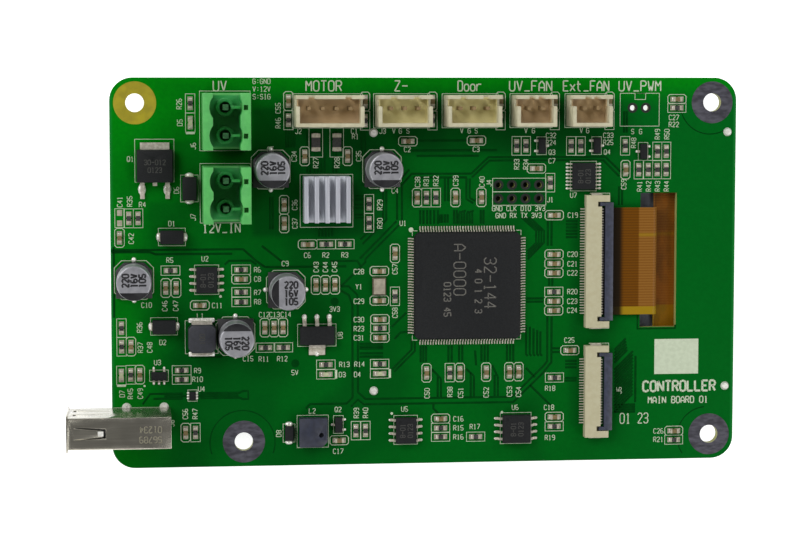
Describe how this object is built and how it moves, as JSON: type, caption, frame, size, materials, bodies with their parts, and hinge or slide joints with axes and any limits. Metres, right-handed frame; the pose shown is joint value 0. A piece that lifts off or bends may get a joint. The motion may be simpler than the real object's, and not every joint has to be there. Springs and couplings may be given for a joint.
{
  "type": "resin printer control board",
  "caption": "Green control board with USB socket, wire headers, flex connectors with flip locks, heatsink and a touch display on its back.",
  "frame": {"origin": "bottom centre of the whole part, on the touch glass", "axes": "+X along the board away from the USB socket, +Y towards the wire headers, +Z from the display to the component side"},
  "size_m": [0.1244, 0.0716, 0.0199],
  "materials": {
    "green_board": "glossy green solder mask over glass fibre board",
    "gold_plate": "gold flash",
    "tinned_copper": "dull tinned copper",
    "moulded_epoxy": "fine matt moulded epoxy",
    "tinned_leads": "matt tin plate",
    "cream_nylon": "glass filled nylon",
    "header_nylon": "natural nylon",
    "dark_nylon": "satin",
    "blackened_steel": "satin blackened sheet",
    "clear_acrylic": "clear light guide",
    "led_lens": "cloudy resin",
    "display_glass": "dark polished glass",
    "black_foam": "closed cell foam",
    "polyimide_flex": "amber polyimide film over copper",
    "green_plastic": "satin moulded polyamide",
    "usb_steel": "tin plated sheet steel",
    "can_aluminium": "satin can with clear coat",
    "black_plastic": "moulded",
    "sink_aluminium": "extruded, plain",
    "grey_tape": "thermal tape",
    "ferrite": "coated ferrite",
    "buzzer_plastic": "moulded",
    "ceramic": "fired ceramic",
    "resistor_glaze": "black glaze",
    "capacitor_ceramic": "brown fired ceramic",
    "solder": "bright solder"
  },
  "bodies": {
    "board": {"circuit_board": "green_board", "gold_mounting_pad": "gold_plate", "tinned_mounting_pads": "tinned_copper", "microcontroller_body": "moulded_epoxy", "microcontroller_leads": "tinned_leads", "display_connector_housing": "cream_nylon", "display_connector_contacts": "tinned_leads", "display_connector_anchors": "tinned_leads", "panel_connector_housing": "cream_nylon", "panel_connector_contacts": "tinned_leads", "panel_connector_anchors": "tinned_leads", "display_tray": "blackened_steel", "display_light_guide": "clear_acrylic", "display_backlight_leds": "led_lens", "display_cell": "display_glass", "display_touch_adhesive": "black_foam", "display_touch_glass": "display_glass", "display_flex": "polyimide_flex", "display_foam_tape": "black_foam", "motor_header": "header_nylon", "z_limit_header": "header_nylon", "door_header": "header_nylon", "lamp_fan_header": "header_nylon", "case_fan_header": "header_nylon", "wire_header_pins": "tinned_leads", "lamp_header": "green_plastic", "power_header": "green_plastic", "terminal_header_pins": "tinned_leads", "usb_shell": "usb_steel", "usb_insulator": "black_plastic", "usb_contacts": "gold_plate", "electrolytic_cans": "can_aluminium", "electrolytic_bases": "black_plastic", "electrolytic_leads": "tinned_leads", "heatsink": "sink_aluminium", "heatsink_tape": "grey_tape", "motor_driver_chip": "moulded_epoxy", "lamp_transistor_body": "moulded_epoxy", "lamp_transistor_metal": "tinned_leads", "regulator_body": "moulded_epoxy", "regulator_leads": "tinned_leads", "small_chip_bodies": "moulded_epoxy", "small_chip_leads": "tinned_leads", "small_transistor_bodies": "moulded_epoxy", "small_transistor_leads": "tinned_leads", "diode_bodies": "moulded_epoxy", "diode_leads": "tinned_leads", "inductor_core": "ferrite", "inductor_terminals": "tinned_leads", "buzzer": "buzzer_plastic", "crystal_base": "ceramic", "crystal_lid": "tinned_leads", "resistor_bodies": "resistor_glaze", "ceramic_capacitor_bodies": "capacitor_ceramic", "indicator_leds": "led_lens", "chip_part_end_caps": "solder", "solder_joints": "solder"},
    "display_lock": {"display_connector_lock": "dark_nylon"},
    "panel_lock": {"panel_connector_lock": "dark_nylon"}
  },
  "joints": [
    {"name": "display_lock_hinge", "type": "hinge", "parent": "board", "child": "display_lock", "pos_m": [0.0365, 0.0017, 0.00785], "axis": [0, -1, 0], "range_deg": [0, 90]},
    {"name": "panel_lock_hinge", "type": "hinge", "parent": "board", "child": "panel_lock", "pos_m": [0.0365, -0.02265, 0.00785], "axis": [0, -1, 0], "range_deg": [0, 90]}
  ]
}
